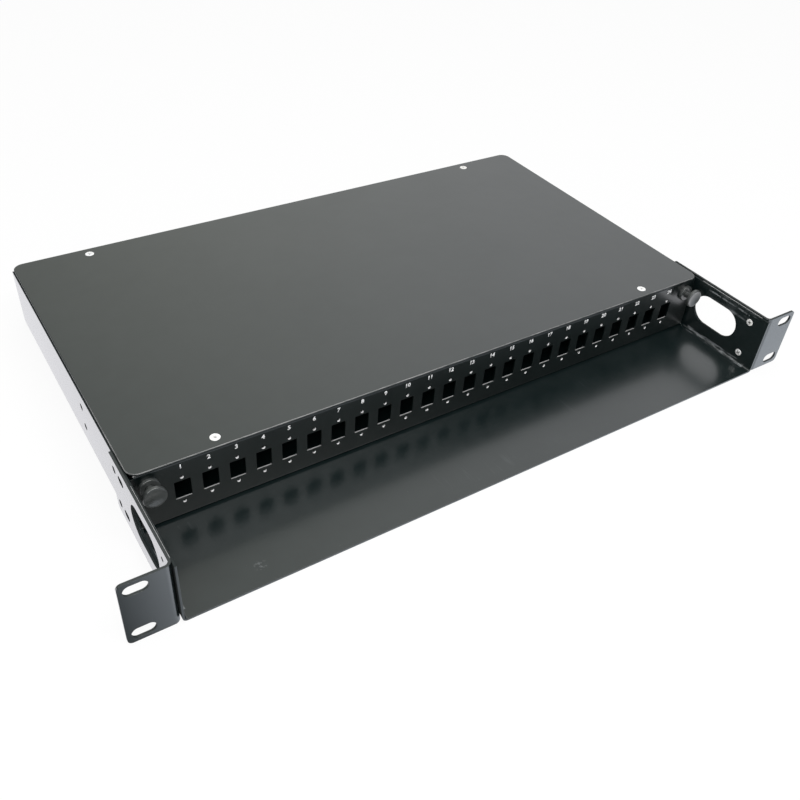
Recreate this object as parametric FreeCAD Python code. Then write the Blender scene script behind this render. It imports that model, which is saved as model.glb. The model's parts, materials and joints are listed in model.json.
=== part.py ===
import FreeCAD, Part
import math
import os

os.makedirs("parts", exist_ok=True)

# One-unit rack panel with a sliding fibre drawer. Millimetres.
# Origin: middle of the four rack slots, on the rear face of the ear flanges.
# +X right seen from the front, +Y into the rack, +Z up.

# Rack interface
rack_width = 482.6
slot_inset = 8.75
slot_spacing = 31.75
slot_length = 12.7
slot_width = 7.0
ear_height = 43.7
ear_sheet = 1.5
ear_flange = 27.5
ear_plate_length = 90.0
ear_bend = 2.3
ear_corner = 3.0

# Ear fixing, cable hole and spare holes in its side plate
ear_screw_back = 12.9
ear_screw_spacing = 26.0
ear_screw_size = 3.0
ear_screw_head = 5.0
ear_screw_end_gap = 0.6
ear_hole_gap = 1.0
spare_hole = 4.8
spare_slot_length = 8.0
spare_slot_back = 72.5
spare_hole_back = 83.0

# Chassis: base, front shelf and side walls
chassis_depth = 291.0
chassis_sheet = 1.2
chassis_bend = 1.5
wall_height = 42.5
shelf_lead = 0.8
cable_hole_length = 38.0
cable_hole_height = 22.0
cable_hole_back = 40.7
cable_hole_rise = 23.3
wall_hole = 4.5
wall_hole_back = 146.0
wall_hole_low = 15.6
wall_hole_spacing = 15.2

# Drawer front and rear panels
panel_recess = 64.6
drawer_rear_lap = 4.4
panel_sheet = 1.2
sheet_bend = 0.3
panel_end_gap = 2.2
panel_lift = 0.65
top_flange = 17.0
bottom_flange = 12.0
port_count = 24
port_margin = 25.25
port_row_drop = 0.6
port_width = 9.4
port_height = 13.2
port_hole_spacing = 18.2
port_hole = 2.2

# Lid
lid_sheet = 1.2
lid_gap = 0.3
lid_side_lap = 0.3
lid_overhang = 0.5
lid_rear_lap = 0.6
lid_corner = 7.0
lid_edge_round = 0.5
lid_screw_side = 50.9
lid_screw_inset = 7.5
lid_screw_size = 3.0
lid_screw_head = 6.0
lid_screw_length = 6.0
clinch_nut = 6.0
clinch_nut_height = 2.4
screw_clearance = 0.05

# Drawer tray and slides
tray_sheet = 1.2
tray_wall = 19.8
rail_sheet = 1.0
rail_bend = 0.5
rail_space = 7.0
rail_lift = 3.8
rail_height = 18.0
rail_side_gap = 0.6
rail_running_gap = 0.3
outer_rail_front = 7.0
outer_rail_rear = 11.0
inner_rail_front = 2.0
inner_rail_rear = 25.0
drawer_travel = 160.0
stop_gap = 0.3
stop_width = 6.0
stop_depth = 2.3

# Latches
latch_inset = 7.2
latch_rise = 32.6
latch_gap = 0.3
bracket_sheet = 1.2
bracket_width = 16.0
bracket_height = 14.0
bracket_foot = 16.0
grommet_flange = 11.5
grommet_lip = 2.0
grommet_barrel = 8.2
grommet_legs = 11.0
grommet_split = 1.0
grommet_edge = 0.6
panel_hole_gap = 0.1
bracket_hole_gap = 0.4
plunger_head = 13.5
plunger_head_depth = 2.6
plunger_dish = 1.0
plunger_rim = 1.1
plunger_edge = 0.7
plunger_neck = 5.0
plunger_gap = 0.25
plunger_travel = 5.0
plunger_stop_gap = 0.3
plunger_tail = 7.0

# Rear cable entries
entry_hole = 20.5
entry_side = 35.6
entry_pitch = 40.0
plug_fit = 0.1
plug_flange = 25.0
plug_lip = 1.8
plug_depth = 6.0
plug_wall = 1.6

# Splice cassette and fibre clips on the tray floor
cassette_width = 160.0
cassette_length = 104.0
cassette_height = 9.0
cassette_wall = 1.6
cassette_corner = 22.0
cassette_clear = 22.0
drum_radius = 30.0
drum_offset = 38.0
notch_width = 10.0
notch_inset = 12.0
cover_sheet = 1.5
comb_width = 36.0
comb_length = 24.0
comb_height = 5.0
comb_base = 1.2
comb_slots = 6
comb_slot_width = 2.6
stud_size = 5.0
stud_fit = 0.15
nut_width = 16.0
nut_height = 6.0
tie_slot_length = 8.0
tie_slot_width = 3.0
tie_slot_pitch = 12.0
clip_inset = 17.6
clip_front = 34.0
clip_rear = 40.0
clip_base = 14.0
clip_base_height = 1.2
clip_loop = 9.0
clip_wall = 1.2
clip_mouth = 3.0
clip_length = 8.0

# Derived places
flange_end = rack_width / 2
slot_x = flange_end - slot_inset
ear_front = -ear_sheet
base_bottom = -ear_height / 2
base_top = base_bottom + chassis_sheet
wall_outer = flange_end - ear_flange
wall_inner = wall_outer - chassis_sheet
wall_top = base_bottom + wall_height
chassis_front = ear_front - shelf_lead
chassis_rear = ear_front + chassis_depth
drawer_rear = chassis_rear + drawer_rear_lap
panel_front = ear_front + panel_recess
panel_back = panel_front + panel_sheet
panel_half = wall_inner - panel_end_gap
panel_bottom = base_top + panel_lift
lid_bottom = wall_top + lid_gap
lid_top = lid_bottom + lid_sheet
panel_middle = (panel_bottom + lid_bottom) / 2
port_row = panel_middle - port_row_drop
rear_inside = drawer_rear - panel_sheet
tray_half = wall_inner - rail_space
tray_bottom = panel_bottom + panel_sheet
tray_floor = tray_bottom + tray_sheet
lid_half = wall_inner + lid_side_lap
lid_screw_x = lid_half - lid_screw_side
lid_front = panel_front - lid_overhang
lid_rear = drawer_rear + lid_rear_lap
lid_screw_rows = (lid_front + lid_screw_inset, lid_rear - lid_screw_inset)
outer_rail_bottom = base_top + rail_lift
outer_rail_top = outer_rail_bottom + rail_height
inner_rail_bottom = outer_rail_bottom + rail_sheet + rail_running_gap
inner_rail_top = outer_rail_top - rail_sheet - rail_running_gap
rail_middle = (outer_rail_bottom + outer_rail_top) / 2
inner_rail_end = drawer_rear - inner_rail_rear
stop_face = inner_rail_end - rail_sheet - drawer_travel - stop_gap
latch_x = panel_half - latch_inset
latch_z = base_bottom + latch_rise
bracket_front = panel_back + latch_gap
grommet_face = panel_front - grommet_lip
plunger_back = grommet_face - plunger_stop_gap - plunger_travel
plunger_front = plunger_back - plunger_head_depth
cassette_rear = rear_inside - cassette_clear
cassette_front = cassette_rear - cassette_length
cassette_middle = (cassette_front + cassette_rear) / 2
notch_x = cassette_width / 2 - cassette_corner - notch_inset


def unit(start, end):
    length = math.hypot(end[0] - start[0], end[1] - start[1])
    return ((end[0] - start[0]) / length, (end[1] - start[1]) / length)


def placed(plane, level, point):
    """A point of a flat drawing, set at a level along the axis the plane leaves out."""
    a, b = point
    if plane == "xz":
        return FreeCAD.Vector(a, level, b)
    if plane == "yz":
        return FreeCAD.Vector(level, a, b)
    return FreeCAD.Vector(a, b, level)


def drawn_wire(points, radii, plane, level):
    """A closed outline whose corners are rounded to the given radii."""
    stretches = []
    count = len(points)
    for index, corner in enumerate(points):
        into = unit(points[index - 1], corner)
        out = unit(corner, points[(index + 1) % count])
        turn = math.atan2(into[0] * out[1] - into[1] * out[0], into[0] * out[0] + into[1] * out[1])
        radius = radii[index]
        reach = radius * math.tan(abs(turn) / 2)
        first = (corner[0] - into[0] * reach, corner[1] - into[1] * reach)
        last = (corner[0] + out[0] * reach, corner[1] + out[1] * reach)
        bulge = radius * (1 / math.cos(turn / 2) - 1)
        inward = unit((0, 0), (out[0] - into[0], out[1] - into[1]))
        middle = (corner[0] + inward[0] * bulge, corner[1] + inward[1] * bulge)
        stretches.append((first, middle, last, radius > 0))
    edges = []
    for index, (first, middle, last, is_round) in enumerate(stretches):
        before = placed(plane, level, stretches[index - 1][2])
        start = placed(plane, level, first)
        if before.distanceToPoint(start) > 1e-6:
            edges.append(Part.LineSegment(before, start).toShape())
        if is_round:
            arc = Part.Arc(start, placed(plane, level, middle), placed(plane, level, last))
            edges.append(arc.toShape())
    return Part.Wire(edges)


def prism(points, radii, plane, start, end):
    """An outline carried square to its plane from one level to another."""
    axis = {"xz": (0, 1, 0), "yz": (1, 0, 0), "xy": (0, 0, 1)}[plane]
    face = Part.Face(drawn_wire(points, radii, plane, start))
    return face.extrude(FreeCAD.Vector(*axis) * (end - start))


def folded(path, sheet, bend, plane, start, end):
    """A folded sheet: path runs along one face, with the thickness on its left."""
    steps = [unit(path[index], path[index + 1]) for index in range(len(path) - 1)]
    normals = [(-step[1], step[0]) for step in steps]
    other = []
    near_radii = []
    far_radii = []
    for index, point in enumerate(path):
        before = normals[max(index - 1, 0)]
        after = normals[min(index, len(normals) - 1)]
        scale = sheet / (1 + before[0] * after[0] + before[1] * after[1])
        shift = ((before[0] + after[0]) * scale, (before[1] + after[1]) * scale)
        other.append((point[0] + shift[0], point[1] + shift[1]))
        turn = before[0] * after[1] - before[1] * after[0]
        near_radii.append(bend + sheet if turn > 0 else bend if turn < 0 else 0)
        far_radii.append(bend if turn > 0 else bend + sheet if turn < 0 else 0)
    points = path + other[::-1]
    return prism(points, near_radii + far_radii[::-1], plane, start, end)


def rectangle(middle, width, height):
    a, b = middle
    return [
        (a - width / 2, b - height / 2),
        (a + width / 2, b - height / 2),
        (a + width / 2, b + height / 2),
        (a - width / 2, b + height / 2),
    ]


def plate(middle, width, height, corner, plane, start, end):
    return prism(rectangle(middle, width, height), [corner] * 4, plane, start, end)


def slot(middle, length, width, plane, start, end):
    """A round-ended slot, long along the first axis of its plane."""
    return plate(middle, length, width, width / 2, plane, start, end)


def rod(radius, start, axis, length):
    return Part.makeCylinder(radius, length, FreeCAD.Vector(*start), FreeCAD.Vector(*axis))


def turned(profile, place, axis):
    """A profile of (radius, distance) points, turned about an axis from a place."""
    points = [FreeCAD.Vector(radius, 0, distance) for radius, distance in profile]
    face = Part.Face(Part.makePolygon(points + points[:1]))
    solid = face.revolve(FreeCAD.Vector(0, 0, 0), FreeCAD.Vector(0, 0, 1), 360)
    turn = FreeCAD.Rotation(FreeCAD.Vector(0, 0, 1), FreeCAD.Vector(*axis))
    solid.Placement = FreeCAD.Placement(FreeCAD.Vector(*place), turn)
    return solid


def cut_all(shape, cutters):
    return shape.cut(Part.makeCompound(cutters)) if cutters else shape


def rounded(shape, radius, chosen):
    return shape.makeFillet(radius, [edge for edge in shape.Edges if chosen(edge)])


def mirrored(shape):
    return shape.mirror(FreeCAD.Vector(0, 0, 0), FreeCAD.Vector(1, 0, 0))


def export(shape, node):
    shape.exportStep(f"parts/{node}.step")


def export_pair(right_shape, node):
    """The right-hand piece and its mirror image."""
    export(right_shape, f"right_{node}")
    export(mirrored(right_shape), f"left_{node}")


def flat_headed(size, head, place, axis, length):
    """A screw with a right-angled conical head, from the face of its head along its shank."""
    rim = head / 2
    shank = size / 2
    return turned([(0, 0), (rim, 0), (shank, rim - shank), (shank, length), (0, length)], place, axis)


def countersink(size, head, place, axis, length):
    """The seat and hole for a flat-headed screw."""
    return flat_headed(size + 2 * screw_clearance, head + 2 * screw_clearance, place, axis, length)


def ear_screw_places():
    back = ear_front + ear_screw_back
    return [(wall_inner, back, side * ear_screw_spacing / 2) for side in (-1, 1)]


def cable_hole(start, end, gap=0):
    middle = (ear_front + cable_hole_back, base_bottom + cable_hole_rise)
    return slot(middle, cable_hole_length + 2 * gap, cable_hole_height + 2 * gap, "yz", start, end)


def both_sides(places):
    return places + [(-x, y, z) for x, y, z in places]


def make_chassis():
    path = [
        (-wall_outer, wall_top),
        (-wall_outer, base_bottom),
        (wall_outer, base_bottom),
        (wall_outer, wall_top),
    ]
    body = folded(path, chassis_sheet, chassis_bend, "xz", chassis_front, chassis_rear)
    cutters = [cable_hole(-flange_end, flange_end)]
    for x, y, z in both_sides(ear_screw_places()):
        outward = (math.copysign(1, x), 0, 0)
        reach = 2 * chassis_sheet
        cutters.append(countersink(ear_screw_size, ear_screw_head, (x, y, z), outward, reach))
    for row in range(2):
        z = base_bottom + wall_hole_low + row * wall_hole_spacing
        start = (-flange_end, ear_front + wall_hole_back, z)
        cutters.append(rod(wall_hole / 2, start, (1, 0, 0), rack_width))
    return cut_all(body, cutters)


def make_ear():
    plate_end = ear_front + ear_plate_length
    path = [(wall_outer, plate_end), (wall_outer, ear_front), (flange_end, ear_front)]
    body = folded(path, ear_sheet, ear_bend, "xy", base_bottom, base_bottom + ear_height)

    def is_outer_corner(edge):
        box = edge.BoundBox
        on_flange = box.XMin > flange_end - 0.01 and box.YLength > ear_sheet / 2
        on_plate = box.YMin > plate_end - 0.01 and box.XLength > ear_sheet / 2
        return on_flange or on_plate

    body = rounded(body, ear_corner, is_outer_corner)
    through = wall_outer + 2 * ear_sheet
    cutters = [cable_hole(wall_inner, through, ear_hole_gap)]
    for side in (-1, 1):
        middle = (slot_x, side * slot_spacing / 2)
        cutters.append(slot(middle, slot_length, slot_width, "xz", 2 * ear_front, ear_sheet))
        row = side * ear_screw_spacing / 2
        spare = (ear_front + spare_slot_back, row)
        cutters.append(slot(spare, spare_slot_length, spare_hole, "yz", wall_inner, through))
        start = (wall_inner, ear_front + spare_hole_back, row)
        cutters.append(rod(spare_hole / 2, start, (1, 0, 0), through - wall_inner))
    reach = through - wall_inner
    for place in ear_screw_places():
        cutters.append(countersink(ear_screw_size, ear_screw_head, place, (1, 0, 0), reach))
    return cut_all(body, cutters)


def make_ear_screws():
    length = chassis_sheet + ear_sheet - ear_screw_end_gap
    screws = []
    for x, y, z in both_sides(ear_screw_places()):
        outward = (math.copysign(1, x), 0, 0)
        screws.append(flat_headed(ear_screw_size, ear_screw_head, (x, y, z), outward, length))
    return Part.makeCompound(screws)


def make_latch_bracket():
    path = [
        (wall_inner - bracket_width, bracket_front),
        (wall_inner, bracket_front),
        (wall_inner, bracket_front + bracket_foot),
    ]
    low = latch_z - bracket_height / 2
    body = folded(path, bracket_sheet, sheet_bend, "xy", low, low + bracket_height)
    radius = grommet_barrel / 2 + bracket_hole_gap
    return body.cut(rod(radius, (latch_x, panel_front, latch_z), (0, 1, 0), bracket_foot))


def make_outer_rail():
    """Fixed channel with a lanced tab that stops the drawer."""
    tip = tray_half + rail_side_gap
    path = [
        (tip, outer_rail_bottom),
        (wall_inner, outer_rail_bottom),
        (wall_inner, outer_rail_top),
        (tip, outer_rail_top),
    ]
    start = panel_front + outer_rail_front
    end = chassis_rear - outer_rail_rear
    body = folded(path, rail_sheet, rail_bend, "xz", start, end)
    web = wall_inner - rail_sheet
    lanced = (stop_face - rail_sheet - stop_depth / 2, rail_middle)
    window = plate(lanced, stop_depth, stop_width, 0, "yz", web, wall_inner)
    bent = (stop_face - rail_sheet / 2, rail_middle)
    tab = plate(bent, rail_sheet, stop_width, 0, "yz", web - stop_depth, wall_inner)
    return body.cut(window).fuse(tab).removeSplitter()


def make_inner_rail():
    """Sliding channel on the tray, closed behind by the tab that meets the stop."""
    tip = wall_inner - rail_sheet - rail_side_gap
    path = [
        (tip, inner_rail_top),
        (tray_half, inner_rail_top),
        (tray_half, inner_rail_bottom),
        (tip, inner_rail_bottom),
    ]
    body = folded(path, rail_sheet, rail_bend, "xz", panel_back + inner_rail_front, inner_rail_end)
    clear_height = inner_rail_top - inner_rail_bottom - 2 * rail_sheet - 2 * rail_bend
    end = (inner_rail_end - rail_sheet / 2, rail_middle)
    end_tab = plate(end, rail_sheet, clear_height, 0, "yz", tray_half, tip)
    return body.fuse(end_tab).removeSplitter()


def tie_slots():
    """Pairs of slots behind each cable entry, for a tie round the incoming cable."""
    cutters = []
    y = rear_inside - bottom_flange - tie_slot_length
    under = tray_bottom - tray_sheet
    above = tray_floor + tray_sheet
    for x in entry_columns():
        for side in (-1, 1):
            middle = (x + side * tie_slot_pitch / 2, y)
            end_round = tie_slot_width / 2
            cutters.append(plate(middle, tie_slot_width, tie_slot_length, end_round, "xy", under, above))
    return cutters


def stud_hole(bottom, top):
    height = top - bottom
    start = (0, cassette_middle, bottom - height)
    return rod(stud_size / 2 + stud_fit, start, (0, 0, 1), 3 * height)


def make_tray():
    top = tray_bottom + tray_wall
    path = [(-tray_half, top), (-tray_half, tray_bottom), (tray_half, tray_bottom), (tray_half, top)]
    start = panel_back + sheet_bend
    end = rear_inside - sheet_bend
    body = folded(path, tray_sheet, sheet_bend, "xz", start, end)
    return cut_all(body, tie_slots() + [stud_hole(tray_bottom, tray_floor)])


def port_columns():
    pitch = 2 * (panel_half - port_margin) / (port_count - 1)
    return [(index - (port_count - 1) / 2) * pitch for index in range(port_count)]


def lid_hole_cutters(row):
    cutters = []
    for side in (-1, 1):
        place = (side * lid_screw_x, row, lid_top)
        seat = countersink(lid_screw_size, lid_screw_head, place, (0, 0, -1), lid_screw_length)
        cutters.append(seat)
    return cutters


def make_front_panel():
    path = [
        (panel_front + top_flange, lid_bottom),
        (panel_front, lid_bottom),
        (panel_front, panel_bottom),
        (panel_front + bottom_flange, panel_bottom),
    ]
    body = folded(path, panel_sheet, sheet_bend, "yz", -panel_half, panel_half)
    before = panel_front - panel_sheet
    behind = panel_back + panel_sheet
    cutters = lid_hole_cutters(lid_screw_rows[0])
    for x in port_columns():
        cutters.append(plate((x, port_row), port_width, port_height, 0, "xz", before, behind))
        for side in (-1, 1):
            z = port_row + side * port_hole_spacing / 2
            cutters.append(rod(port_hole / 2, (x, before, z), (0, 1, 0), behind - before))
    for side in (-1, 1):
        start = (side * latch_x, before, latch_z)
        cutters.append(rod(grommet_barrel / 2 + panel_hole_gap, start, (0, 1, 0), behind - before))
    return cut_all(body, cutters)


def entry_columns():
    outer = tray_half - entry_side
    inner = outer - entry_pitch
    return [-outer, -inner, inner, outer]


def make_rear_panel():
    path = [
        (drawer_rear - bottom_flange, panel_bottom),
        (drawer_rear, panel_bottom),
        (drawer_rear, lid_bottom),
        (drawer_rear - top_flange, lid_bottom),
    ]
    body = folded(path, panel_sheet, sheet_bend, "yz", -tray_half, tray_half)
    cutters = lid_hole_cutters(lid_screw_rows[1])
    for x in entry_columns():
        start = (x, rear_inside - panel_sheet, panel_middle)
        cutters.append(rod(entry_hole / 2, start, (0, 1, 0), 3 * panel_sheet))
    return cut_all(body, cutters)


def make_lid():
    middle = (0, (lid_front + lid_rear) / 2)
    body = plate(middle, 2 * lid_half, lid_rear - lid_front, lid_corner, "xy", lid_bottom, lid_top)
    body = rounded(body, lid_edge_round, lambda edge: edge.BoundBox.ZMin > lid_top - lid_sheet / 4)
    cutters = []
    for row in lid_screw_rows:
        cutters.extend(lid_hole_cutters(row))
    return cut_all(body, cutters)


def lid_screw_places(z):
    return [(side * lid_screw_x, row, z) for side in (-1, 1) for row in lid_screw_rows]


def make_lid_screws():
    screws = []
    for place in lid_screw_places(lid_top):
        screws.append(flat_headed(lid_screw_size, lid_screw_head, place, (0, 0, -1), lid_screw_length))
    return Part.makeCompound(screws)


def make_lid_nuts():
    bore = lid_screw_size / 2 + screw_clearance
    rim = clinch_nut / 2
    profile = [(bore, 0), (rim, 0), (rim, clinch_nut_height), (bore, clinch_nut_height)]
    places = lid_screw_places(lid_bottom - panel_sheet)
    return Part.makeCompound([turned(profile, place, (0, 0, -1)) for place in places])


def make_grommet():
    """Flanged bush whose barrel is split into four legs behind the panel."""
    bore = plunger_neck / 2 + plunger_gap
    barrel = grommet_barrel / 2
    flange = grommet_flange / 2
    end = grommet_lip + grommet_legs
    profile = [
        (bore, 0),
        (flange, 0),
        (flange, grommet_lip),
        (barrel, grommet_lip),
        (barrel, end - grommet_edge),
        (barrel - grommet_edge, end),
        (bore, end),
    ]
    body = turned(profile, (latch_x, grommet_face, latch_z), (0, 1, 0))

    def is_flange_rim(edge):
        box = edge.BoundBox
        return box.XLength > grommet_flange - 0.01 and box.YMax < grommet_face + 0.01

    body = rounded(body, grommet_edge, is_flange_rim)
    split_start = panel_back + latch_gap
    split_end = grommet_face + end + grommet_edge
    middle = (latch_x, latch_z)
    upright = plate(middle, grommet_split, grommet_flange, 0, "xz", split_start, split_end)
    level = plate(middle, grommet_flange, grommet_split, 0, "xz", split_start, split_end)
    return body.cut(upright).cut(level)


def make_plunger():
    """Mushroom-headed pin with a rounded rim and a face hollowed like a saucer."""
    head = plunger_head / 2
    neck = plunger_neck / 2
    end = plunger_head_depth + (panel_back - plunger_back) + plunger_tail
    profile = [
        (0, 0),
        (head, 0),
        (head, plunger_head_depth),
        (neck, plunger_head_depth),
        (neck, end - plunger_edge),
        (neck - plunger_edge, end),
        (0, end),
    ]
    body = turned(profile, (latch_x, plunger_front, latch_z), (0, 1, 0))
    body = rounded(body, plunger_edge, lambda edge: edge.BoundBox.XLength > plunger_head - 0.01)
    hollow = head - plunger_rim
    ball = (hollow ** 2 + plunger_dish ** 2) / (2 * plunger_dish)
    centre = FreeCAD.Vector(latch_x, plunger_front + plunger_dish - ball, latch_z)
    return body.cut(Part.makeSphere(ball, centre))


def make_entry_plugs():
    """Hollow snap-in plugs with a rounded flange outside the rear panel."""
    barrel = entry_hole / 2 - plug_fit
    flange = plug_flange / 2
    inner = barrel - plug_wall
    profile = [
        (0, -plug_lip),
        (flange - plug_lip / 2, -plug_lip),
        (flange, -plug_lip / 2),
        (flange, 0),
        (barrel, 0),
        (barrel, plug_depth),
        (inner, plug_depth),
        (inner, 0),
        (0, 0),
    ]
    places = [(x, drawer_rear, panel_middle) for x in entry_columns()]
    return Part.makeCompound([turned(profile, place, (0, -1, 0)) for place in places])


def make_cassette():
    """Open moulded tray with two drums that keep the fibre's bend wide, and notches where it enters."""
    top = tray_floor + cassette_height
    middle = (0, cassette_middle)
    floor_top = tray_floor + cassette_wall
    body = plate(middle, cassette_width, cassette_length, cassette_corner, "xy", tray_floor, top)
    inside = plate(
        middle,
        cassette_width - 2 * cassette_wall,
        cassette_length - 2 * cassette_wall,
        cassette_corner - cassette_wall,
        "xy",
        floor_top,
        top + cassette_wall,
    )
    above = top + cassette_wall
    notches = []
    for side in (-1, 1):
        notch = (side * notch_x, cassette_middle)
        notches.append(plate(notch, notch_width, 2 * cassette_length, 0, "xy", floor_top, above))
    body = cut_all(body, notches + [inside])
    for side in (-1, 1):
        foot = (side * drum_offset, cassette_middle, tray_floor)
        drum = rod(drum_radius, foot, (0, 0, 1), cassette_height)
        inner_foot = (side * drum_offset, cassette_middle, floor_top)
        core = rod(drum_radius - cassette_wall, inner_foot, (0, 0, 1), cassette_height)
        body = body.fuse(drum.cut(core))
    return body.cut(stud_hole(tray_floor, floor_top))


def make_cassette_cover():
    bottom = tray_floor + cassette_height
    top = bottom + cover_sheet
    middle = (0, cassette_middle)
    body = plate(middle, cassette_width, cassette_length, cassette_corner, "xy", bottom, top)
    return body.cut(stud_hole(bottom, top))


def make_splice_combs():
    """A slotted block inside each drum that grips the splice sleeves."""
    bottom = tray_floor + cassette_wall
    pitch = comb_length / comb_slots
    combs = []
    for side in (-1, 1):
        middle = (side * drum_offset, cassette_middle)
        block = plate(middle, comb_width, comb_length, 0, "xy", bottom, bottom + comb_height)
        cutters = []
        for index in range(comb_slots):
            centre = (middle[0], cassette_middle + (index - (comb_slots - 1) / 2) * pitch)
            floor = bottom + comb_base
            top = bottom + 2 * comb_height
            cutters.append(plate(centre, 2 * comb_width, comb_slot_width, 0, "xy", floor, top))
        combs.append(cut_all(block, cutters))
    return Part.makeCompound(combs)


def make_stud():
    """Press-in stud that stands through the tray, the cassette and its cover."""
    length = tray_sheet + cassette_height + cover_sheet + nut_height
    return rod(stud_size / 2, (0, cassette_middle, tray_bottom), (0, 0, 1), length)


def make_nut():
    bottom = tray_floor + cassette_height + cover_sheet
    bore = stud_size / 2 + screw_clearance
    rim = nut_width / 2
    edge = nut_height / 6
    profile = [
        (bore, 0),
        (rim - edge, 0),
        (rim, edge),
        (rim, nut_height - edge),
        (rim - edge, nut_height),
        (bore, nut_height),
    ]
    return turned(profile, (0, cassette_middle, bottom), (0, 0, 1))


def make_fibre_clips():
    """Open loops on flat feet, along both sides of the tray."""
    clips = []
    for side in (-1, 1):
        for y in (panel_back + clip_front, rear_inside - clip_rear):
            x = side * (tray_half - clip_inset)
            foot_top = tray_floor + clip_base_height
            foot = plate((x, y), clip_base, clip_base, clip_wall, "xy", tray_floor, foot_top)
            centre = foot_top + clip_loop / 2 - clip_wall / 2
            front = y - clip_length / 2
            back = y + clip_length / 2
            loop = rod(clip_loop / 2, (x, front, centre), (0, 1, 0), clip_length)
            bore = rod(clip_loop / 2 - clip_wall, (x, front, centre), (0, 1, 0), clip_length)
            mouth_middle = (x, centre + clip_loop / 2)
            mouth = plate(mouth_middle, clip_mouth, clip_loop, 0, "xz", front, back)
            clips.append(foot.fuse(loop.cut(mouth)).cut(bore).removeSplitter())
    return Part.makeCompound(clips)


export(make_chassis(), "chassis")
export_pair(make_ear(), "ear")
export(make_ear_screws(), "ear_screws")
export_pair(make_latch_bracket(), "latch_bracket")
export_pair(make_outer_rail(), "outer_rail")
export_pair(make_inner_rail(), "inner_rail")
export(make_tray(), "drawer_tray")
export(make_front_panel(), "front_panel")
export(make_rear_panel(), "rear_panel")
export(make_lid(), "lid")
export(make_lid_screws(), "lid_screws")
export(make_lid_nuts(), "lid_nuts")
export_pair(make_grommet(), "grommet")
export_pair(make_plunger(), "plunger")
export(make_entry_plugs(), "entry_plugs")
export(make_cassette(), "splice_cassette")
export(make_cassette_cover(), "cassette_cover")
export(make_splice_combs(), "splice_combs")
export(make_stud(), "cassette_stud")
export(make_nut(), "cassette_nut")
export(make_fibre_clips(), "fibre_clips")
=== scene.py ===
import json
import math

import bmesh
import bpy
import numpy as np
from mathutils import Matrix, Vector


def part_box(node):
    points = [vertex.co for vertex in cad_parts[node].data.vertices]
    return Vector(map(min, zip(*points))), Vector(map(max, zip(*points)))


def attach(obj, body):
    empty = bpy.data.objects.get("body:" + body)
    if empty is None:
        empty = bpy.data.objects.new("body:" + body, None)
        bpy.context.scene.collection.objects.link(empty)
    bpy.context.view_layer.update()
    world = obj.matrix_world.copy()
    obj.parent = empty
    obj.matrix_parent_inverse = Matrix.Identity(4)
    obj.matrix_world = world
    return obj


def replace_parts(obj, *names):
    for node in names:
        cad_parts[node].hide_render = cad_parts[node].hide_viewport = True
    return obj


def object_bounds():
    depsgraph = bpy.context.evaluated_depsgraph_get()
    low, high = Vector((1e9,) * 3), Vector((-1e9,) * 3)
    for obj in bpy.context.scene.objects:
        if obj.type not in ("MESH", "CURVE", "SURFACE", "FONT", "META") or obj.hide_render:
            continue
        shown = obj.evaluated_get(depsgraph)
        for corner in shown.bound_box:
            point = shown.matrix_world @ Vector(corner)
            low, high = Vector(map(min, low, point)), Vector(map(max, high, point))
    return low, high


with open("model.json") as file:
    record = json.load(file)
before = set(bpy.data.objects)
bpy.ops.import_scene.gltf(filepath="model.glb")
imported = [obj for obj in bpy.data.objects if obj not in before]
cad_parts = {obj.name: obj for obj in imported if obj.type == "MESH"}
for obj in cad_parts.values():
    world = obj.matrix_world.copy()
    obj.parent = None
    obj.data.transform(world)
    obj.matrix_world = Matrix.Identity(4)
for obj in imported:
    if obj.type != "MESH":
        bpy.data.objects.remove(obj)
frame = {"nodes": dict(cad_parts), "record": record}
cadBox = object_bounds()
nodes = frame["nodes"]
print("frame loaded:", len(nodes), "nodes")

mm = 0.001


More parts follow.
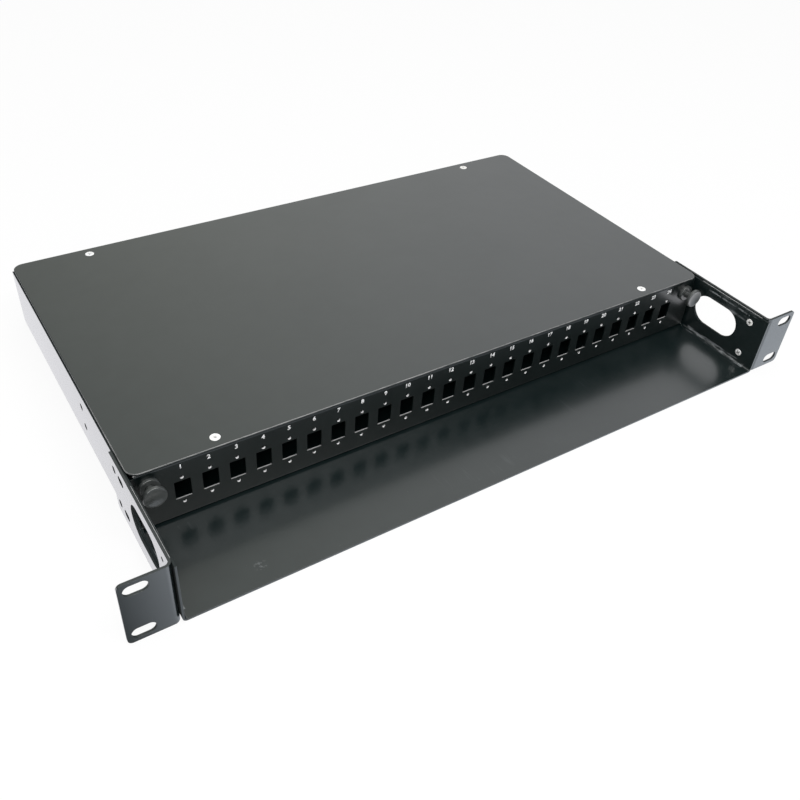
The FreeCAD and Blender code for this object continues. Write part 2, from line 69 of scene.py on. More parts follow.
# Shader maths: one output socket, and sums written as Python add their Math nodes.
class Wire:
    def __init__(self, tree, socket=None):
        self.tree = tree
        self.socket = socket

    # A link where the value is a Wire, or else the socket's own number or colour
    def plug(self, socket, value):
        if isinstance(value, Wire):
            self.tree.links.new(value.socket, socket)
        else:
            socket.default_value = value

    # Any node: its type, its own settings first, then the values or links of its sockets.
    def add(self, kind, settings=None, inputs=None, out=0):
        node = self.tree.nodes.new(kind)
        for key, value in (settings or {}).items():
            setattr(node, key, value)
        for key, value in (inputs or {}).items():
            self.plug(node.inputs[key], value)
        return Wire(self.tree, node.outputs[out])

    def math(self, operation, a, b=0.0):
        return self.add("ShaderNodeMath", {"operation": operation}, {0: a, 1: b})

    def __add__(self, other):
        return self.math("ADD", self, other)

    def __radd__(self, other):
        return self.math("ADD", other, self)

    def __sub__(self, other):
        return self.math("SUBTRACT", self, other)

    def __rsub__(self, other):
        return self.math("SUBTRACT", other, self)

    def __mul__(self, other):
        return self.math("MULTIPLY", self, other)

    def __rmul__(self, other):
        return self.math("MULTIPLY", other, self)

    def __gt__(self, other):
        return self.math("GREATER_THAN", self, other)

    def __lt__(self, other):
        return self.math("LESS_THAN", self, other)

    def __abs__(self):
        return self.math("ABSOLUTE", self)

    def most(self, other):
        return self.math("MAXIMUM", self, other)

    def least(self, other):
        return self.math("MINIMUM", self, other)

    # Length of the way whose two square parts are this value and another
    def hypot(self, other):
        return self.math("SQRT", self * self + other * other)

    # 0 below low, 1 above high, straight between
    def between(self, low, high):
        span = {"From Min": low, "From Max": high, "To Min": 0.0, "To Max": 1.0}
        return self.add("ShaderNodeMapRange", {"clamp": True}, {"Value": self, **span})

    # A number that goes from low to high as this value goes from 0 to 1
    def ranged(self, low, high):
        return self * (high - low) + low

    # A colour that goes from first to second as this value goes from 0 to 1.
    # 6, 7 and 2 are the numbers of Mix's colour sockets.
    def tint(self, first, second):
        ends = {"Factor": self, 6: first, 7: second}
        return self.add("ShaderNodeMix", {"data_type": "RGBA"}, ends, out=2)

    def axes(self):
        parts = self.add("ShaderNodeSeparateXYZ", inputs={0: self}).socket.node.outputs
        return [Wire(self.tree, part) for part in parts]

    def scaled(self, factors):
        return self.add("ShaderNodeVectorMath", {"operation": "MULTIPLY"}, {0: self, 1: factors})

    # Stretched along each axis, then turned, which takes another part of a noise
    def stretched(self, factors, turn):
        return self.add("ShaderNodeMapping", inputs={"Vector": self, "Rotation": turn, "Scale": factors})


def grey(level):
    return (level, level, level, 1.0)


# A new material with a Principled shader: returns the material, the shader node and a Wire to build with.
def newMaterial(name):
    material = bpy.data.materials.new(name)
    material.use_nodes = True
    shader = material.node_tree.nodes["Principled BSDF"]
    return material, shader, Wire(material.node_tree)


def feed(wire, shader, **sockets):
    for name, value in sockets.items():
        wire.plug(shader.inputs[name.replace("_", " ")], value)


def objectPlace(wire):
    return wire.add("ShaderNodeTexCoord", out="Object")


# How far the surface looks along x, y and z
def facing(wire):
    return wire.add("ShaderNodeNewGeometry", out="Normal").axes()


# Noise of a cell size; with a spread, the values between its ends are drawn out to 0 and 1.
def noise(wire, place, size=1.0, detail=2.0, roughness=0.5, spread=None):
    inputs = {"Vector": place, "Scale": 1.0 / size, "Detail": detail, "Roughness": roughness}
    cloud = wire.add("ShaderNodeTexNoise", inputs=inputs)
    return cloud.between(*spread) if spread else cloud


# Rounded edges in the shading, with a fine skin on top
def skinNormal(wire, edge, skin, height, samples=6):
    rounding = wire.add("ShaderNodeBevel", {"samples": samples}, {"Radius": edge})
    return wire.add("ShaderNodeBump", inputs={"Height": skin, "Distance": height, "Normal": rounding})


# Semi-gloss black powder coat: orange peel, faint mottle, smears of handling and a little dust on top.
coat = {
    "shades": ((0.0034, 0.0088, 0.0092, 1.0), (0.0066, 0.0125, 0.0130, 1.0)),
    # painted shade: the panel's copy of the coat is darker than the rest
    "panelShades": ((0.0016, 0.0046, 0.0046, 1.0), (0.0028, 0.0066, 0.0064, 1.0)),
    # painted light: the lid's copy of the coat is lighter than the rest
    "lidShades": ((0.0066, 0.0118, 0.0118, 1.0), (0.0098, 0.0154, 0.0154, 1.0)),
    "mottle": {"size": 14 * mm, "detail": 3.0, "spread": (0.3, 0.7)},
    "smear": {"size": 55 * mm, "detail": 4.0, "roughness": 0.6},
    "smearSpread": (0.35, 0.65),
    "roughness": (0.28, 0.33),
    "clear": 0.23,  # roughness of the clear layer
    "chassisClear": 0.19,
    "ior": 1.5,
    "earIor": 1.75,
    "peel": {"size": 1.1 * mm, "detail": 1.0},
    "peelHeight": 0.0022 * mm,
    "edge": 0.5 * mm,
    "dustColour": (0.30, 0.30, 0.29, 1.0),
    "dustCell": 7 * mm,
    "dustSize": 0.020,  # a speck's radius, as a share of its cell
    "dustSpread": (0.45, 0.65),
    "dustLevel": 0.9,  # it lies on faces that look up at least this far
    "dustCover": 0.6,
    # shade of the scuffs and of the painted highlights on the chassis
    "scuffColour": (0.24, 0.255, 0.265, 1.0),
    "scuffRoughness": 0.2,
    "dullRoughness": 0.3,
    "holeRoughness": 0.4,
    "outsideGloss": 0.18,  # roughness taken off the outer faces of the side sheets
}


# The three mask makers take (wire, place): the first gives rubbed patches and painted highlights, the second
# painted highlights with their shade, and dull the cut edges, the holes and the open outer faces of a side
# sheet.
def powderCoat(name, scuffsAndHighlights=None, paintedHighlight=None, dull=None, shades="shades", ior="ior", clear="clear"):
    material, shader, wire = newMaterial(name)
    place = objectPlace(wire)
    smear = noise(wire, place, **coat["smear"])
    cells = wire.add("ShaderNodeTexVoronoi", inputs={"Vector": place, "Scale": 1.0 / coat["dustCell"]})
    level = facing(wire)[2] > coat["dustLevel"]
    dust = (cells < coat["dustSize"]) * level * smear.between(*coat["dustSpread"]) * coat["dustCover"]
    colour = noise(wire, place, **coat["mottle"]).tint(*coat[shades])
    colour = dust.tint(colour, coat["dustColour"])
    rough = smear.between(*coat["smearSpread"]).ranged(*coat["roughness"])
    cover = 1.0
    if scuffsAndHighlights:
        rubbedAndHighlit = scuffsAndHighlights(wire, place)
        colour = rubbedAndHighlit.tint(colour, coat["scuffColour"])
        rough = rough + rubbedAndHighlit * coat["scuffRoughness"]
    # painted highlight: its mask takes the coat off and paints its pale shade
    if paintedHighlight:
        highlit, shade = paintedHighlight(wire, place)
        colour = highlit.tint(colour, shade)
        cover = 1 - highlit
    if dull:
        edges, holes, outside = dull(wire, place)
        rough = rough + edges * coat["dullRoughness"] + holes * coat["holeRoughness"]
        rough = rough - outside * coat["outsideGloss"]
        cover = 1 - edges
    peel = noise(wire, place, **coat["peel"])
    feed(wire, shader, Base_Color=colour, Roughness=rough, Coat_Weight=cover)
    feed(wire, shader, Normal=skinNormal(wire, coat["edge"], peel, coat["peelHeight"]))
    feed(wire, shader, Coat_Roughness=coat[clear], IOR=coat[ior], Coat_IOR=coat[ior])
    return material


# The row of ports and the sheets, for the masks
portMounts = [mount for mount in frame["record"]["mounts"] if mount["name"].startswith("port_")]
firstPort = portMounts[0]["pos_m"]
lastPort = portMounts[-1]["pos_m"]
portPitch = (lastPort[0] - firstPort[0]) / (len(portMounts) - 1)
panelFront = firstPort[1]
portMiddle = firstPort[2]
sheet = 1.2 * mm  # panel and chassis
earSheet = 1.5 * mm
hair = 0.05 * mm  # what a mask leaves at the faces of a sheet

# Lower lips of the adapter cut-outs and crescents below their screw holes, painted pale where they face up:
# painted highlights of the light from above, in the shade of bare metal
lipHighlights = {
    "sill": grey(0.48),
    "hole": grey(0.90),
    "sillDepth": 0.45 * mm,
    "upward": (0.0, 0.35),
    "portHalf": 6.9 * mm,
    "reach": 11.0 * mm,
    "endMargin": 16 * mm,
    "holeRise": 9.1 * mm,  # from the middle of a port to the middle of its screw holes
    "rim": (1.12 * mm, 1.40 * mm),  # pale crescent painted below each screw hole: a painted highlight
    "chip": 0.8 * mm,
    "chipDrop": 0.2 * mm,
}


def paintedLipHighlights(wire, place):
    x, y, z = place.axes()
    fromMiddle = abs(z - portMiddle)
    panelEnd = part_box("front_panel")[1].x - lipHighlights["endMargin"]
    atHole = fromMiddle > lipHighlights["portHalf"]
    inSheet = (y > panelFront + hair) * (y < panelFront + sheet - hair)
    rearPart = (y > panelFront + lipHighlights["sillDepth"]).most(atHole)
    highlit = inSheet * rearPart * (fromMiddle < lipHighlights["reach"]) * (abs(x) < panelEnd)
    highlit = highlit * facing(wire)[2].between(*lipHighlights["upward"])
    fromLeft = wire.math("FLOORED_MODULO", x - firstPort[0] + portPitch / 2, portPitch)
    across = fromLeft - portPitch / 2
    side = (z > portMiddle) * 2 - 1
    along = z - portMiddle - side * lipHighlights["holeRise"]
    crescentHighlight = (1 - across.hypot(along).between(*lipHighlights["rim"])) * (along < -lipHighlights["chipDrop"])
    crescentHighlight = crescentHighlight * (abs(across) < lipHighlights["chip"])
    crescentHighlight = crescentHighlight * (abs(y - panelFront) < hair) * (abs(x) < panelEnd)
    return highlit.most(crescentHighlight), atHole.tint(lipHighlights["sill"], lipHighlights["hole"])


# Marks on the chassis in front of the drawer: along the floor bends and below the walls' tops light scuffs
# that are partly painted highlight, a light track, and on the shelf scratches and a finger mark
rubbingAndHighlights = {
    "start": 4 * mm,
    "front": 58 * mm,
    "near": 0.1 * mm,  # how close to a face counts as on it
    "bendReach": 2.6 * mm,
    "bendScale": (500.0, 120.0, 500.0),
    "bendGrain": {"detail": 3.0, "spread": (0.46, 0.60)},
    "bendStrength": 0.75,
    "bandDrop": 9 * mm,
    "streakScale": (60.0, 14.0, 55.0),
    "streak": {"size": 0.35, "detail": 3.0, "roughness": 0.6, "spread": (0.50, 0.64)},
    "strokeScale": (60.0, 50.0, 330.0),
    "strokeTurn": (0.6, 0.0, 0.0),
    "stroke": {"spread": (0.55, 0.61)},
    "strokeStrength": (0.2, 0.8),
    "trackDrop": 2.9 * mm,  # a light track along each wall, below its top
    "trackWide": (0.3 * mm, 0.8 * mm),
    "trackEnds": (13 * mm, 50 * mm),
    "trackBreak": {"size": 5 * mm, "detail": 3.0, "spread": (0.34, 0.54)},
    "trackBend": {"size": 14 * mm, "detail": 1.0},
    "trackMiddle": 0.5,  # the noise's own middle, where the track runs straight
    "trackWave": 1.4 * mm,
    "scratchScale": (420.0, 36.0, 60.0),
    "scratchTurn": (0.0, 0.0, 0.7),
    "scratch": {"spread": (0.62, 0.72)},
    "scratchPatch": {"size": 38 * mm, "detail": 1.0, "spread": (0.55, 0.66)},
    "scratchStrength": 0.05,
    "smudgePlace": (-165.5 * mm, 10.2 * mm),  # a finger mark on the shelf
    "smudgeReach": (1.5 * mm, 4.5 * mm),
    "smudge": {"size": 1.6 * mm, "spread": (0.52, 0.62)},
    "smudgeStrength": 0.3,
    "topWear": 0.45 * mm,  # painted highlight along the outer edge of each wall's top
    "topShade": grey(0.55),
}


def chassisScuffsAndHighlights(wire, place):
    x, y, z = place.axes()
    out = abs(x)
    low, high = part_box("chassis")
    inner = high.x - sheet
    floorTop = low.z + sheet
    near = rubbingAndHighlights["near"]
    reach = rubbingAndHighlights["bendReach"]
    exposed = (y < rubbingAndHighlights["front"]) * (y > rubbingAndHighlights["start"])

    # light grain along the floor bends: scuffs, partly a painted highlight
    inBend = (out > inner - reach) * (out < inner + near)
    inBend = inBend * (z < floorTop + reach) * (z > floorTop - near)
    bendGrain = noise(wire, place.scaled(rubbingAndHighlights["bendScale"]), **rubbingAndHighlights["bendGrain"])
    marks = inBend * bendGrain * rubbingAndHighlights["bendStrength"]

    # light streaks below the walls' tops: scuffs, partly a painted highlight
    onWall = (abs(out - inner) < near) * (z > high.z - rubbingAndHighlights["bandDrop"])
    streaks = noise(wire, place.scaled(rubbingAndHighlights["streakScale"]), **rubbingAndHighlights["streak"])
    strokePlace = place.stretched(rubbingAndHighlights["strokeScale"], rubbingAndHighlights["strokeTurn"])
    strokes = noise(wire, strokePlace, **rubbingAndHighlights["stroke"]).ranged(*rubbingAndHighlights["strokeStrength"])
    marks = marks.most(onWall * streaks * strokes)

    wave = noise(wire, place, **rubbingAndHighlights["trackBend"]) - rubbingAndHighlights["trackMiddle"]
    fromTrack = abs(z - (high.z - rubbingAndHighlights["trackDrop"]) + wave * rubbingAndHighlights["trackWave"])
    trackStart, trackEnd = rubbingAndHighlights["trackEnds"]
    track = (1 - fromTrack.between(*rubbingAndHighlights["trackWide"])) * (y > trackStart) * (y < trackEnd)
    track = track * noise(wire, place, **rubbingAndHighlights["trackBreak"])
    marks = marks.most(onWall * track)

    onShelf = (abs(z - floorTop) < near) * (out < inner - reach)
    scratchPlace = place.stretched(rubbingAndHighlights["scratchScale"], rubbingAndHighlights["scratchTurn"])
    patches = noise(wire, place, **rubbingAndHighlights["scratchPatch"])
    scratches = noise(wire, scratchPlace, **rubbingAndHighlights["scratch"]) * patches
    marks = marks.most(onShelf * scratches * rubbingAndHighlights["scratchStrength"])

    smudgeX, smudgeY = rubbingAndHighlights["smudgePlace"]
    fromSmudge = (x - smudgeX).hypot(y - smudgeY)
    smudge = noise(wire, place, **rubbingAndHighlights["smudge"]) * (1 - fromSmudge.between(*rubbingAndHighlights["smudgeReach"]))
    marks = marks.most(onShelf * smudge * rubbingAndHighlights["smudgeStrength"])
    return marks * exposed


# Outer edge of the walls' tops in front of the drawer, painted pale: a painted highlight along the edge
def wallTopHighlights(wire, place):
    x, y, z = place.axes()
    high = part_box("chassis")[1]
    edgeLine = (abs(x) > high.x - rubbingAndHighlights["topWear"]) * (z > high.z - hair)
    return edgeLine * (y < rubbingAndHighlights["front"]) * (y > rubbingAndHighlights["start"]), rubbingAndHighlights["topShade"]


# Rim of the lid painted pale: a painted highlight along its rounded edge
lidRimHighlight = {
    "corner": 7 * mm,
    "wide": 0.45 * mm,
    "patch": {"size": 9 * mm, "detail": 3.0, "spread": (0.35, 0.65)},
    "strength": (0.4, 1.0),
    "shade": grey(0.22),
    "unworn": (90 * mm, 170 * mm),  # no painted highlight on the rear of the left edge
}


# reach: a point's way out past the middles of the rounded corners; it is the corner's radius on the outline
def paintedLidRimHighlight(wire, place):
    x, y, z = place.axes()
    low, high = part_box("lid")
    beyondX = abs(x) - ((high.x - low.x) / 2 - lidRimHighlight["corner"])
    beyondY = abs(y - (low.y + high.y) / 2) - ((high.y - low.y) / 2 - lidRimHighlight["corner"])
    reach = beyondX.most(0.0).hypot(beyondY.most(0.0)) + beyondX.most(beyondY).least(0.0)
    rimLine = (reach > lidRimHighlight["corner"] - lidRimHighlight["wide"]) * (z > high.z - lidRimHighlight["wide"])
    rimLine = rimLine * (1 - (x < low.x + lidRimHighlight["corner"]) * y.between(*lidRimHighlight["unworn"]))
    patches = noise(wire, place, **lidRimHighlight["patch"])
    return rimLine * patches.ranged(*lidRimHighlight["strength"]), lidRimHighlight["shade"]


# Cut edges, where the coat is thin and dull: tops of the walls and ears, holes in the side sheets, slots in
# the flanges, and the outer face as far as another sheet covers it
cutEdges = {
    "topBand": 0.3 * mm,
    "topFacing": (0.4, 0.8),
    "sideFacing": 0.9,
    "belowTop": 0.5 * mm,
    "aboveFoot": 2 * mm,
    "endMargin": 3 * mm,
    "flangeStart": 4 * mm,
    "flangeEnd": 0.8 * mm,
    "uncovered": -1.0,  # far in front of the part
}


def sheared(node, inner, outer, coveredTo=cutEdges["uncovered"]):
    low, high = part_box(node)
    margin = cutEdges["endMargin"]

    def mask(wire, place):
        x, y, z = place.axes()
        across, _, upward = facing(wire)
        out = abs(x)
        top = (z > high.z - cutEdges["topBand"]) * upward.between(*cutEdges["topFacing"])
        below = (z < high.z - cutEdges["belowTop"]) * (z > low.z + cutEdges["aboveFoot"])
        holes = (out > inner + hair) * (out < outer - hair) * (y > margin) * (y < high.y - margin) * below
        slots = (out > outer + cutEdges["flangeStart"]) * (out < high.x - cutEdges["flangeEnd"])
        slots = slots * (y > low.y + hair) * (y < low.y + (outer - inner) - hair) * below
        outside = (out > outer - hair) * (abs(across) > cutEdges["sideFacing"])
        covered = outside * (y < coveredTo)
        edges = top.most(holes).most(slots).most(covered)
        return edges, holes.most(covered), outside * (y > coveredTo)
    return mask


# Bright zinc plate: cool white metal with a fine grain and a faint yellow-blue drift
zinc = {
    "cool": (0.93, 0.94, 0.95, 1.0),
    "warm": (0.90, 0.89, 0.86, 1.0),
    # painted shade in the screws' cross recesses
    "recess": grey(0.10),
    "drift": {"size": 9 * mm, "spread": (0.35, 0.65)},
    "grain": {"size": 0.35 * mm, "detail": 3.0},
    "grainSpread": (0.3, 0.7),
    "grainHeight": 0.006 * mm,
    "roughness": (0.30, 0.46),
    "edge": 0.12 * mm,
    "metallic": 0.9,
    "screwMetallic": 0.1,  # the screws' plate is a dull white
}


# Painted shade in recesses: a mesh's recess attribute makes it dark where that is 1.
def zincPlate(name, metallic):
    material, shader, wire = newMaterial(name)
    place = objectPlace(wire)
    grain = noise(wire, place, **zinc["grain"])
    recess = wire.add("ShaderNodeAttribute", {"attribute_name": "recess"}, out="Fac")
    colour = noise(wire, place, **zinc["drift"]).tint(zinc["cool"], zinc["warm"])
    rough = grain.between(*zinc["grainSpread"]).ranged(*zinc["roughness"])
    feed(wire, shader, Base_Color=recess.tint(colour, zinc["recess"]), Roughness=rough, Metallic=metallic)
    feed(wire, shader, Normal=skinNormal(wire, zinc["edge"], grain, zinc["grainHeight"]))
    return material


# Moulded plastic: a skin with a fine spark grain, and a shade that drifts a little
plastics = {
    "blackNylon": {
        "shades": ((0.040, 0.044, 0.043, 1.0), (0.054, 0.059, 0.058, 1.0)),
        "roughness": (0.26, 0.34),
        "sheen": 0.75,
    },
    "paleGrey": {
        "shades": ((0.62, 0.63, 0.63, 1.0), (0.70, 0.71, 0.70, 1.0)),
        "roughness": (0.36, 0.46),
        "sheen": 0.0,
    },
    "sheenRoughness": 0.17,
    "drift": {"size": 12 * mm, "detail": 3.0, "spread": (0.3, 0.7)},
    "grain": {"size": 0.5 * mm},
    "grainHeight": 0.006 * mm,
    "edge": 0.3 * mm,
}


def mouldedPlastic(name):
    look = plastics[name]
    material, shader, wire = newMaterial(name)
    place = objectPlace(wire)
    drift = noise(wire, place, **plastics["drift"])
    grain = noise(wire, place, **plastics["grain"])
    feed(wire, shader, Base_Color=drift.tint(*look["shades"]), Roughness=drift.ranged(*look["roughness"]))
    feed(wire, shader, Coat_Weight=look["sheen"], Coat_Roughness=plastics["sheenRoughness"])
    feed(wire, shader, Normal=skinNormal(wire, plastics["edge"], grain, plastics["grainHeight"]))
    return material


finishes = {
    "black_powder_coat": powderCoat("semiGlossBlackCoat"),
    "zinc_steel": zincPlate("brightZinc", zinc["metallic"]),
    "black_nylon": mouldedPlastic("blackNylon"),
    "pale_plastic": mouldedPlastic("paleGrey"),
}
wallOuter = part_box("chassis")[1].x
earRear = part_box("right_ear")[1].y
wallEdges = sheared("chassis", wallOuter - sheet, wallOuter, earRear)
earEdges = sheared("right_ear", wallOuter, wallOuter + earSheet)
ownFinishes = {
    # the chassis coat: scuffs with painted highlights, and a painted highlight along its walls' tops
    "chassis": powderCoat("rubbedChassisCoat", chassisScuffsAndHighlights, wallTopHighlights, wallEdges, clear="chassisClear"),
    "right_ear": powderCoat("earCoat", dull=earEdges, ior="earIor"),
    # the panel's coat: painted highlights on its lips and a darker copy of the coat as painted shade
    "front_panel": powderCoat("punchedPanelCoat", paintedHighlight=paintedLipHighlights, shades="panelShades"),
    # the lid's coat: a painted highlight on its rim and a lighter copy of the coat as painted light
    "lid": powderCoat("lidCoat", paintedHighlight=paintedLidRimHighlight, shades="lidShades"),
}
ownFinishes["left_ear"] = ownFinishes["right_ear"]


def dress(piece, finish):
    piece.data.materials.clear()
    piece.data.materials.append(finish)


for part in frame["record"]["subparts"]:
    dress(nodes[part["node"]], ownFinishes.get(part["node"], finishes[part["material_slot"]]))
print("finishes on", len(nodes), "nodes")


def addPiece(mesh, finish, body):
    mesh.materials.append(finish)
    piece = bpy.data.objects.new(mesh.name, mesh)
    bpy.context.scene.collection.objects.link(piece)
    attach(piece, body)
    return piece


# Port numbers in white print, one above each cut-out
numbers = {
    "height": 3.1 * mm,
    "drop": 4.2 * mm,  # middle of the digits below the panel's top
    "weight": 0.042,  # strokes widened, as a share of the type size
    "curveSteps": 4,
    "weld": 0.002 * mm,
    "printed": 0.03 * mm,  # how far the print stands out, and how far it is sunk
    "sunk": 0.01 * mm,
    "colour": (0.86, 0.87, 0.88, 1.0),
    "thinColour": grey(0.62),
    "speck": {"size": 0.5 * mm, "detail": 3.0, "spread": (0.25, 0.55)},
    "roughness": 0.5,
}


def whitePrint(name):
    material, shader, wire = newMaterial(name)
    speck = noise(wire, objectPlace(wire), **numbers["speck"])
    colour = speck.tint(numbers["thinColour"], numbers["colour"])
    feed(wire, shader, Base_Color=colour, Roughness=numbers["roughness"])
    return material


# One number as a flat mesh: its digits are scaled to the stated height and stood up to face the front.
def typeset(words, middle):
    curve = bpy.data.curves.new("digits", "FONT")
    curve.body = words
    curve.align_x = "CENTER"
    curve.offset = numbers["weight"]
    curve.resolution_u = numbers["curveSteps"]
    holder = bpy.data.objects.new("digits", curve)
    bpy.context.scene.collection.objects.link(holder)
    graph = bpy.context.evaluated_depsgraph_get()
    flat = bpy.data.meshes.new_from_object(holder.evaluated_get(graph))
    bpy.data.objects.remove(holder)
    points = np.empty(len(flat.vertices) * 3)
    flat.vertices.foreach_get("co", points)
    points = points.reshape(-1, 3)
    low = points.min(axis=0)
    high = points.max(axis=0)
    scale = numbers["height"] / (high[1] - low[1])
    centre = scale * (low + high) / 2
    flat.transform(Matrix((
        (scale, 0, 0, middle[0] - centre[0]),
        (0, 0, -scale, middle[1]),
        (0, scale, 0, middle[2] - centre[1]),
        (0, 0, 0, 1),
    )))
    return flat


# The flat numbers in one mesh, given their thickness
def makePortNumbers():
    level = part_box("front_panel")[1].z - numbers["drop"]
    gathered = bmesh.new()
    for index, mount in enumerate(portMounts):
        x, y, _ = mount["pos_m"]
        flat = typeset(str(index + 1), (x, y - numbers["printed"], level))
        gathered.from_mesh(flat)
        bpy.data.meshes.remove(flat)
    bmesh.ops.remove_doubles(gathered, verts=gathered.verts, dist=numbers["weld"])
    bmesh.ops.recalc_face_normals(gathered, faces=gathered.faces)
    front = list(gathered.faces)
    grown = bmesh.ops.extrude_face_region(gathered, geom=front, use_keep_orig=True)
    moved = [item for item in grown["geom"] if isinstance(item, bmesh.types.BMVert)]
    bmesh.ops.translate(gathered, verts=moved, vec=(0, numbers["printed"] + numbers["sunk"], 0))
    bmesh.ops.recalc_face_normals(gathered, faces=gathered.faces)
    mesh = bpy.data.meshes.new("portNumbers")
    gathered.to_mesh(mesh)
    gathered.free()
    addPiece(mesh, whitePrint("whitePrint"), "drawer")
    print("port numbers:", len(portMounts), "with", len(mesh.polygons), "faces")


makePortNumbers()

# Screws with a cross recess, in millimetres: the lid's four are almost flat, the ears' four have domed heads.
lidScrews = {
    "head": 6.0,
    "shank": 3.0,
    "length": 6.0,
    "dome": 0.12,
    "arm": 1.0,
    "slit": 0.30,
    "deep": 1.1,
    "shade": 0.5,  # how dark the painted shade in the recess is
    "turns": (0.35, 1.2, 0.8, 0.1),  # how far each is driven round, in radians
}
earScrews = {
    "head": 5.0,
    "shank": 3.0,
    "length": 2.1,
    "dome": 0.45,
    "arm": 1.6,
    "slit": 0.36,
    "deep": 0.9,
    "shade": 1.0,
    "turns": (0.2, 0.9, 0.6, 0.25),
}
screwGrid = {
    "rings": 28,
    "turns": 72,
    "core": 0.02,  # first ring as a share of the head's radius, and last ring in millimetres
    "soft": 0.16,  # width of the recess' edges
    "rise": 0.55,  # share of the recess' depth that is lost at the ends of its arms
    "rimWall": 0.08,  # straight part below the head's rim
}


# Head: height = dome * (1 - (r / rim)^2) less a cross whose two arms each are a soft-edged strip, deepest in
# the middle. A soft edge goes from 0 to 1 as 3 t^2 - 2 t^3. Below the rim the profile follows the cone, the
# shank and its end. Rings run out from the middle and down.
def screwSurface(shape):
    rim = shape["head"] / 2
    shank = shape["shank"] / 2
    core = screwGrid["core"]
    radius = np.concatenate([np.linspace(core, 1, screwGrid["rings"]) * rim, [rim, shank, shank, core]])
    angle = np.linspace(0, 2 * np.pi, screwGrid["turns"], endpoint=False)
    r, turn = np.meshgrid(radius, angle, indexing="ij")
    x = r * np.cos(turn)
    y = r * np.sin(turn)

    def step(inside):
        t = np.clip(inside / screwGrid["soft"] + 0.5, 0, 1)
        return t * t * (3 - 2 * t)

    def strip(along, across):
        return step(shape["slit"] - np.abs(across)) * step(shape["arm"] - np.abs(along))

    cross = np.maximum(strip(x, y), strip(y, x))
    z = shape["dome"] * (1 - (r / rim) ** 2)
    z = z - shape["deep"] * cross * (1 - screwGrid["rise"] * np.clip(r / shape["arm"], 0, 1))
    below = np.array([screwGrid["rimWall"], rim - shank, shape["length"], shape["length"]])
    z[screwGrid["rings"]:] = -below[:, None]
    rings, turns = r.shape
    first = np.arange(rings - 1)[:, None] * turns + np.arange(turns)
    after = np.arange(rings - 1)[:, None] * turns + (np.arange(turns) + 1) % turns
    quads = np.stack([first, first + turns, after + turns, after], axis=-1).reshape(-1, 4)
    # the third part is the painted shade of the cross recess at each point
    return np.stack([x, y, z], axis=-1).reshape(-1, 3) * mm, quads, cross.ravel() * shape["shade"]


# The same screw at several places: each has its middle, the way its head faces (along x or z) and its turn.
def driven(shape, places):
    points, quads, recess = screwSurface(shape)
    caps = [np.arange(screwGrid["turns"])[::-1], np.arange(len(points) - screwGrid["turns"], len(points))]
    vertices, faces = [], []
    for middle, out, turn in places:
        n = np.array(out, float)
        side = np.cross(n, (0, 1, 0))
        ahead = np.cross(n, side)
        u = side * math.cos(turn) + ahead * math.sin(turn)
        v = ahead * math.cos(turn) - side * math.sin(turn)
        faces.extend((quads + len(points) * len(vertices)).tolist())
        faces.extend((cap + len(points) * len(vertices)).tolist() for cap in caps)
        vertices.append(points @ np.array([u, v, n]) + np.array(middle))
    return np.concatenate(vertices), faces, np.tile(recess, len(places))


screwFinish = zincPlate("whiteZincScrews", zinc["screwMetallic"])


def makeScrews(name, shape, places, body, node):
    vertices, faces, recess = driven(shape, places)
    mesh = bpy.data.meshes.new(name)
    mesh.from_pydata(vertices.tolist(), [], faces)
    mesh.attributes.new("recess", "FLOAT", "POINT").data.foreach_set("value", recess)
    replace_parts(addPiece(mesh, screwFinish, body), node)
    print(name, len(places), "screws,", len(faces), "faces")


def lidScrewPlaces():
    low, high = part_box("lid_screws")
    rim = lidScrews["head"] / 2 * mm
    spots = [(x, y) for y in (low.y + rim, high.y - rim) for x in (low.x + rim, high.x - rim)]
    return [((x, y, high.z), (0, 0, 1), turn) for (x, y), turn in zip(spots, lidScrews["turns"])]


def earScrewPlaces():
    low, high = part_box("ear_screws")
    rim = earScrews["head"] / 2 * mm
    face = high.x - earScrews["length"] * mm
    y = (low.y + high.y) / 2
    spots = [(side, z) for side in (-1, 1) for z in (low.z + rim, high.z - rim)]
    return [((side * face, y, z), (-side, 0, 0), turn) for (side, z), turn in zip(spots, earScrews["turns"])]


makeScrews("crossLidScrews", lidScrews, lidScrewPlaces(), "drawer", "lid_screws")
makeScrews("crossEarScrews", earScrews, earScrewPlaces(), "chassis_assembly", "ear_screws")

# Studio: white floor and surround, a broad overhead softbox, a long key in front and a fill from the left
studio = {
    "floorSize": 12.0,
    "floorDrop": 0.2 * mm,
    "floorWhite": 0.95,
    "floorRoughness": 0.9,
    "shadowShare": 0.10,
    "ambient": 0.45,
    "ceiling": 1.0,  # mirrored level where the ceiling is brightest
    "ceilingMiddle": (0.55, 0.64),  # rightward and upward parts of the way there
    "ceilingFall": (1.6, 3.9),
    "ceilingLeast": 0.34,
    "leftTint": (0.975, 1.0, 0.935, 1.0),
    "rightTint": (0.98, 0.985, 1.0, 1.0),
    "tintRange": (0.2, 0.6),
    "frontDim": 0.08,  # what is left of the ceiling above the camera
    "frontTurn": 1.2,
    "frontRange": (-1.14, -0.90),
    "floorLeft": (-0.252, -0.196),  # in front, the mirrored floor is dark left of this stretch
    "floorSide": (-0.005, 0.030),  # and beside the object it is white
    "floorTint": (0.86, 0.92, 1.0, 1.0),
    "besideTint": (0.965, 0.965, 1.0, 1.0),
}
lamps = {
    "overheadSoftbox": {"place": (0.0, 0.1, 1.9), "aim": (0.0, 0.12, 0.0), "size": (1.8, 1.8), "power": 14},
    "keyInFront": {"place": (0.16, -0.59, 1.09), "aim": (0.0, 0.08, 0.0), "size": (0.95, 0.36), "power": 6},
    "fillFromLeft": {"place": (-0.75, -0.65, 0.75), "aim": (0.0, 0.05, 0.0), "size": (0.7, 0.7), "power": 5},
}


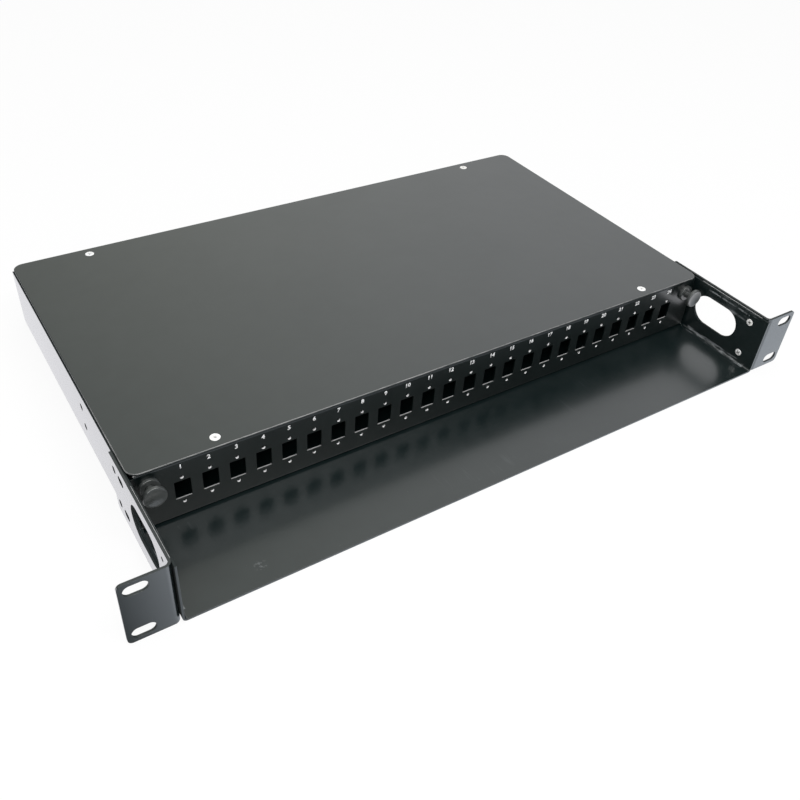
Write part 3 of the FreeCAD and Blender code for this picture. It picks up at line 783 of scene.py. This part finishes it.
# Two masks: rays that see the background straight or through something clear, and rays that mirror it
def rayKinds(wire):
    rays = wire.add("ShaderNodeLightPath").socket.node.outputs
    direct = Wire(wire.tree, rays["Is Camera Ray"]).most(Wire(wire.tree, rays["Is Transmission Ray"]))
    return direct, Wire(wire.tree, rays["Is Glossy Ray"])


# A white sheet that keeps a share of the object's shadow; its mirrored image is shaped and tinted.
def makeFloor():
    level = cadBox[0].z - studio["floorDrop"]
    half = studio["floorSize"] / 2
    corners = [(-half, -half, level), (half, -half, level), (half, half, level), (-half, half, level)]
    mesh = bpy.data.meshes.new("studioFloor")
    mesh.from_pydata(corners, [], [(0, 1, 2, 3)])
    floor = bpy.data.objects.new("studioFloor", mesh)
    bpy.context.scene.collection.objects.link(floor)
    material, shader, wire = newMaterial("studioWhite")
    feed(wire, shader, Base_Color=grey(studio["floorWhite"]), Roughness=studio["floorRoughness"])
    direct, mirror = rayKinds(wire)
    x, y, _ = objectPlace(wire).axes()
    beside = y.between(*studio["floorSide"])
    strength = direct.most(mirror * x.between(*studio["floorLeft"]).most(beside))
    tinted = mirror.tint(grey(1.0), beside.tint(studio["floorTint"], studio["besideTint"]))
    glow = wire.add("ShaderNodeEmission", inputs={"Color": tinted, "Strength": strength})
    share = (direct * (1 - studio["shadowShare"])).most(mirror)
    mixed = wire.add("ShaderNodeMixShader", inputs={0: share, 1: Wire(wire.tree, shader.outputs[0]), 2: glow})
    wire.plug(wire.tree.nodes["Material Output"].inputs["Surface"], mixed)
    mesh.materials.append(material)


# White for the camera; in reflections a ceiling that is brightest high on the right and dim above the camera.
# Its level falls off as fall * way^2, with the ways aside and above from its brightest place.
def makeSurround():
    world = bpy.data.worlds.new("studioSurround")
    bpy.context.scene.world = world
    world.use_nodes = True
    wire = Wire(world.node_tree)
    direct, mirror = rayKinds(wire)
    x, y, z = wire.add("ShaderNodeTexCoord", out="Generated").axes()
    middleX, middleZ = studio["ceilingMiddle"]
    fallX, fallZ = studio["ceilingFall"]
    aside = x - middleX
    above = z - middleZ
    fall = aside * aside * fallX + above * above * fallZ
    ceiling = (studio["ceiling"] - fall).most(studio["ceilingLeast"])
    behind = (y - x * studio["frontTurn"]).between(*studio["frontRange"])
    ceiling = ceiling * behind.ranged(studio["frontDim"], 1)
    level = mirror * ceiling + (1 - mirror) * studio["ambient"]
    ceilingTint = x.between(*studio["tintRange"]).tint(studio["leftTint"], studio["rightTint"])
    background = world.node_tree.nodes["Background"]
    wire.plug(background.inputs["Color"], mirror.tint(grey(1.0), ceilingTint))
    wire.plug(background.inputs["Strength"], direct.most(level))


def makeLamp(name, place, aim, size, power):
    lamp = bpy.data.lights.new(name, "AREA")
    lamp.shape = "RECTANGLE"
    lamp.size, lamp.size_y = size
    lamp.energy = power
    holder = bpy.data.objects.new(name, lamp)
    holder.location = place
    holder.rotation_euler = (Vector(aim) - Vector(place)).to_track_quat("-Z", "Y").to_euler()
    bpy.context.scene.collection.objects.link(holder)


makeFloor()
makeSurround()
for name, lamp in lamps.items():
    makeLamp(name, **lamp)

# Camera at the photograph's viewpoint, from the rack sizes seen in the picture; angles in degrees
view = {
    "place": (-282.039 * mm, -267.723 * mm, 345.721 * mm),
    "azimuth": -35.549,
    "elevation": 39.788,
    "roll": 4.548,
    "lens": 39.025,
    "sensor": 36.0,
    "clip": (0.01, 50.0),
}


def makeCamera():
    azimuth, elevation, roll = (math.radians(view[key]) for key in ("azimuth", "elevation", "roll"))
    flat = math.cos(elevation)
    back = Vector((math.sin(azimuth) * flat, -math.cos(azimuth) * flat, math.sin(elevation)))
    right = Vector((0, 0, 1)).cross(back).normalized()
    up = back.cross(right)
    turnedRight = right * math.cos(roll) + up * math.sin(roll)
    turnedUp = up * math.cos(roll) - right * math.sin(roll)
    data = bpy.data.cameras.new("photoCamera")
    data.lens = view["lens"]
    data.sensor_width = view["sensor"]
    data.clip_start, data.clip_end = view["clip"]
    camera = bpy.data.objects.new("photoCamera", data)
    basis = Matrix((turnedRight, turnedUp, back)).transposed().to_4x4()
    camera.matrix_world = Matrix.Translation(view["place"]) @ basis
    bpy.context.scene.collection.objects.link(camera)
    bpy.context.scene.camera = camera


makeCamera()
bpy.context.scene.view_settings.view_transform = "Standard"
print("studio and camera ready")
